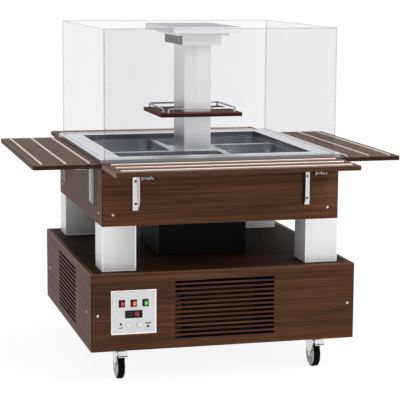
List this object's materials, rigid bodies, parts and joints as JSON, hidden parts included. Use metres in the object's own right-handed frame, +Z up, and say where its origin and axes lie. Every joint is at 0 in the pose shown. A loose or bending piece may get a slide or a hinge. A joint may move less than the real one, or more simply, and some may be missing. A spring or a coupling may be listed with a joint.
{
  "type": "salad bar",
  "caption": "Square refrigerated salad bar on castors with a liftable glass dome, folding trays on four sides, open storage deck and louvred base",
  "frame": {"origin": "Middle of the footprint on the floor under the wheels, with the trays folded out", "axes": "+Z up, -Y towards the side with the control plate, +X to the right seen from there"},
  "size_m": [1.626, 1.626, 1.504],
  "materials": {
    "dark_wood": "satin",
    "stainless": "brushed",
    "white_steel": "satin",
    "black_steel": "matte",
    "grey_steel": "matte",
    "glass": "polished",
    "chrome": "polished",
    "strip_metal": "satin",
    "tyre": "matte",
    "black_plastic": "matte",
    "white_plastic": "satin",
    "red_plastic": "gloss",
    "orange_plastic": "gloss",
    "green_plastic": "gloss",
    "condenser_fins": "matte"
  },
  "bodies": {
    "cabinet": {"base_chassis": "grey_steel", "base_front_panel": "dark_wood", "base_louvred_panels": "dark_wood", "base_deck": "dark_wood", "corner_posts": "white_steel", "central_core": "black_steel", "upper_front_panel": "dark_wood", "upper_plain_panels": "dark_wood", "cabinet_floor": "black_steel", "well_tub": "stainless", "worktop_frame": "stainless", "pan_divider_bars": "stainless", "outer_column": "stainless", "shelf_board": "dark_wood", "shelf_rail": "chrome", "compressor": "black_steel", "condenser": "condenser_fins", "fan_shroud": "grey_steel", "lift_actuator": "grey_steel", "control_plate": "stainless", "switch_bezels": "black_plastic", "thermostat": "black_plastic", "castor_plates": "stainless", "tray_wall_brackets": "stainless"},
    "dome": {"inner_column": "stainless", "dome_head": "stainless", "dome_canopy": "white_steel", "dome_glass": "glass"},
    "front_tray": {"tray_board_front": "dark_wood", "tray_strips_front": "strip_metal", "tray_arms_front": "stainless"},
    "right_tray": {"tray_board_right": "dark_wood", "tray_strips_right": "strip_metal", "tray_arms_right": "stainless"},
    "rear_tray": {"tray_board_rear": "dark_wood", "tray_strips_rear": "strip_metal", "tray_arms_rear": "stainless"},
    "left_tray": {"tray_board_left": "dark_wood", "tray_strips_left": "strip_metal", "tray_arms_left": "stainless"},
    "front_left_fork": {"castor_fork_front_left": "stainless"},
    "front_left_wheel": {"castor_wheel_front_left": "tyre"},
    "front_left_pedal": {"brake_pedal_front_left": "chrome"},
    "front_right_fork": {"castor_fork_front_right": "stainless"},
    "front_right_wheel": {"castor_wheel_front_right": "tyre"},
    "front_right_pedal": {"brake_pedal_front_right": "chrome"},
    "rear_left_fork": {"castor_fork_rear_left": "stainless"},
    "rear_left_wheel": {"castor_wheel_rear_left": "tyre"},
    "rear_right_fork": {"castor_fork_rear_right": "stainless"},
    "rear_right_wheel": {"castor_wheel_rear_right": "tyre"},
    "red_key": {"rocker_red": "red_plastic"},
    "orange_key": {"rocker_orange": "orange_plastic"},
    "green_key": {"rocker_green": "green_plastic"},
    "left_push_button": {"button_left": "white_plastic"},
    "right_push_button": {"button_right": "white_plastic"},
    "fan": {"condenser_fan": "black_plastic"},
    "front_left_pan": {"pan_front_left": "stainless"},
    "front_right_pan": {"pan_front_right": "stainless"},
    "rear_left_pan": {"pan_rear_left": "stainless"},
    "rear_right_pan": {"pan_rear_right": "stainless"}
  },
  "joints": [
    {"name": "dome_lift", "type": "slide", "parent": "cabinet", "child": "dome", "axis": [0, 0, 1], "range_m": [0, 0.45]},
    {"name": "front_tray_fold", "type": "hinge", "parent": "cabinet", "child": "front_tray", "pos_m": [0, -0.544, 0.9155], "axis": [1, 0, 0], "range_deg": [0, 90]},
    {"name": "right_tray_fold", "type": "hinge", "parent": "cabinet", "child": "right_tray", "pos_m": [0.544, 0, 0.9155], "axis": [0, 1, 0], "range_deg": [0, 90]},
    {"name": "rear_tray_fold", "type": "hinge", "parent": "cabinet", "child": "rear_tray", "pos_m": [0, 0.544, 0.9155], "axis": [-1, 0, 0], "range_deg": [0, 90]},
    {"name": "left_tray_fold", "type": "hinge", "parent": "cabinet", "child": "left_tray", "pos_m": [-0.544, 0, 0.9155], "axis": [0, -1, 0], "range_deg": [0, 90]},
    {"name": "front_left_swivel", "type": "hinge", "parent": "cabinet", "child": "front_left_fork", "pos_m": [-0.442, -0.442, 0.128], "axis": [0, 0, 1], "continuous": true},
    {"name": "front_left_roll", "type": "hinge", "parent": "front_left_fork", "child": "front_left_wheel", "pos_m": [-0.442, -0.472, 0.06], "axis": [1, 0, 0], "continuous": true},
    {"name": "front_left_brake", "type": "hinge", "parent": "front_left_fork", "child": "front_left_pedal", "pos_m": [-0.442, -0.518, 0.122], "axis": [1, 0, 0], "range_deg": [0, 10]},
    {"name": "front_right_swivel", "type": "hinge", "parent": "cabinet", "child": "front_right_fork", "pos_m": [0.442, -0.442, 0.128], "axis": [0, 0, 1], "continuous": true},
    {"name": "front_right_roll", "type": "hinge", "parent": "front_right_fork", "child": "front_right_wheel", "pos_m": [0.442, -0.472, 0.06], "axis": [1, 0, 0], "continuous": true},
    {"name": "front_right_brake", "type": "hinge", "parent": "front_right_fork", "child": "front_right_pedal", "pos_m": [0.442, -0.518, 0.122], "axis": [1, 0, 0], "range_deg": [0, 10]},
    {"name": "rear_left_swivel", "type": "hinge", "parent": "cabinet", "child": "rear_left_fork", "pos_m": [-0.442, 0.442, 0.128], "axis": [0, 0, 1], "continuous": true},
    {"name": "rear_left_roll", "type": "hinge", "parent": "rear_left_fork", "child": "rear_left_wheel", "pos_m": [-0.442, 0.412, 0.06], "axis": [1, 0, 0], "continuous": true},
    {"name": "rear_right_swivel", "type": "hinge", "parent": "cabinet", "child": "rear_right_fork", "pos_m": [0.442, 0.442, 0.128], "axis": [0, 0, 1], "continuous": true},
    {"name": "rear_right_roll", "type": "hinge", "parent": "rear_right_fork", "child": "rear_right_wheel", "pos_m": [0.442, 0.412, 0.06], "axis": [1, 0, 0], "continuous": true},
    {"name": "red_switch", "type": "hinge", "parent": "cabinet", "child": "red_key", "pos_m": [-0.453, -0.58925, 0.354], "axis": [1, 0, 0], "range_deg": [-16, 0]},
    {"name": "orange_switch", "type": "hinge", "parent": "cabinet", "child": "orange_key", "pos_m": [-0.402, -0.58925, 0.354], "axis": [1, 0, 0], "range_deg": [-16, 0]},
    {"name": "green_switch", "type": "hinge", "parent": "cabinet", "child": "green_key", "pos_m": [-0.351, -0.58925, 0.354], "axis": [1, 0, 0], "range_deg": [-16, 0]},
    {"name": "left_button_press", "type": "slide", "parent": "cabinet", "child": "left_push_button", "axis": [0, 1, 0], "range_m": [0, 0.003], "stiffness_N_per_m": 300, "springref_m": -0.004},
    {"name": "right_button_press", "type": "slide", "parent": "cabinet", "child": "right_push_button", "axis": [0, 1, 0], "range_m": [0, 0.003], "stiffness_N_per_m": 300, "springref_m": -0.004},
    {"name": "fan_spin", "type": "hinge", "parent": "cabinet", "child": "fan", "pos_m": [0, -0.421, 0.271], "axis": [0, 1, 0], "continuous": true},
    {"name": "front_left_pan_lift", "type": "slide", "parent": "cabinet", "child": "front_left_pan", "axis": [0, 0, 1], "range_m": [0, 0.14]},
    {"name": "front_right_pan_lift", "type": "slide", "parent": "cabinet", "child": "front_right_pan", "axis": [0, 0, 1], "range_m": [0, 0.14]},
    {"name": "rear_left_pan_lift", "type": "slide", "parent": "cabinet", "child": "rear_left_pan", "axis": [0, 0, 1], "range_m": [0, 0.14]},
    {"name": "rear_right_pan_lift", "type": "slide", "parent": "cabinet", "child": "rear_right_pan", "axis": [0, 0, 1], "range_m": [0, 0.14]}
  ]
}
